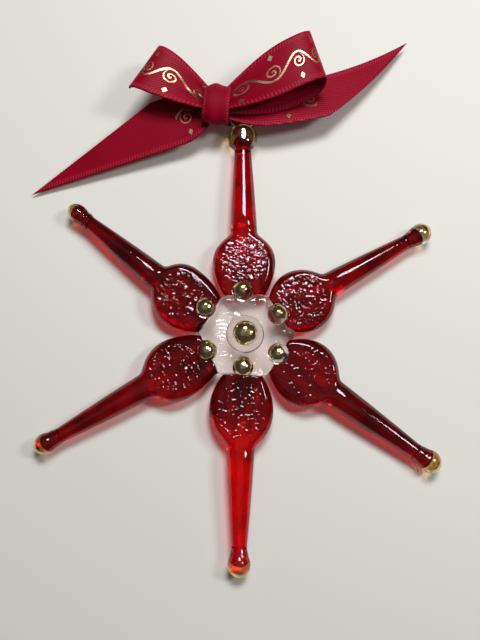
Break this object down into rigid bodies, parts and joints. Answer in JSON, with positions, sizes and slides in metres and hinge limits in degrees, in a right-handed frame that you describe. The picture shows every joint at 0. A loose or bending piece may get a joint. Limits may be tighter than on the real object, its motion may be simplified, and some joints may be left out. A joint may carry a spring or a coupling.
{
  "type": "star ornament",
  "caption": "Lampworked glass star with tapering red points round a clear hub, gold-lustred beads at the tips, and a satin ribbon bow tied to its hanging loop.",
  "frame": {"origin": "middle of the hub's flat underside, on the surface that the ornament lies on", "axes": "+Y runs from the hub towards the hanging loop, +Z points away from the surface that the ornament lies on, and +X is to the right as seen from above"},
  "size_m": [0.1043, 0.1384, 0.0148],
  "materials": {
    "red_glass": "clear, glossy",
    "clear_glass": "clear, glossy",
    "gold_lustre_glass": "clear glass partly coated with gold lustre",
    "crimson_satin": "ribbed satin"
  },
  "bodies": {
    "root": {"centre_dome": "gold_lustre_glass", "dot_bottom": "gold_lustre_glass", "dot_lower_left": "gold_lustre_glass", "dot_lower_right": "gold_lustre_glass", "dot_top": "gold_lustre_glass", "dot_upper_left": "gold_lustre_glass", "dot_upper_right": "gold_lustre_glass", "hanging_loop": "gold_lustre_glass", "hub": "clear_glass", "point_bottom": "red_glass", "point_lower_left": "red_glass", "point_lower_right": "red_glass", "point_top": "red_glass", "point_upper_left": "red_glass", "point_upper_right": "red_glass", "ribbon_bow": "crimson_satin", "tip_bottom": "gold_lustre_glass", "tip_lower_left": "gold_lustre_glass", "tip_lower_right": "gold_lustre_glass", "tip_upper_left": "gold_lustre_glass", "tip_upper_right": "gold_lustre_glass"}
  },
  "joints": []
}
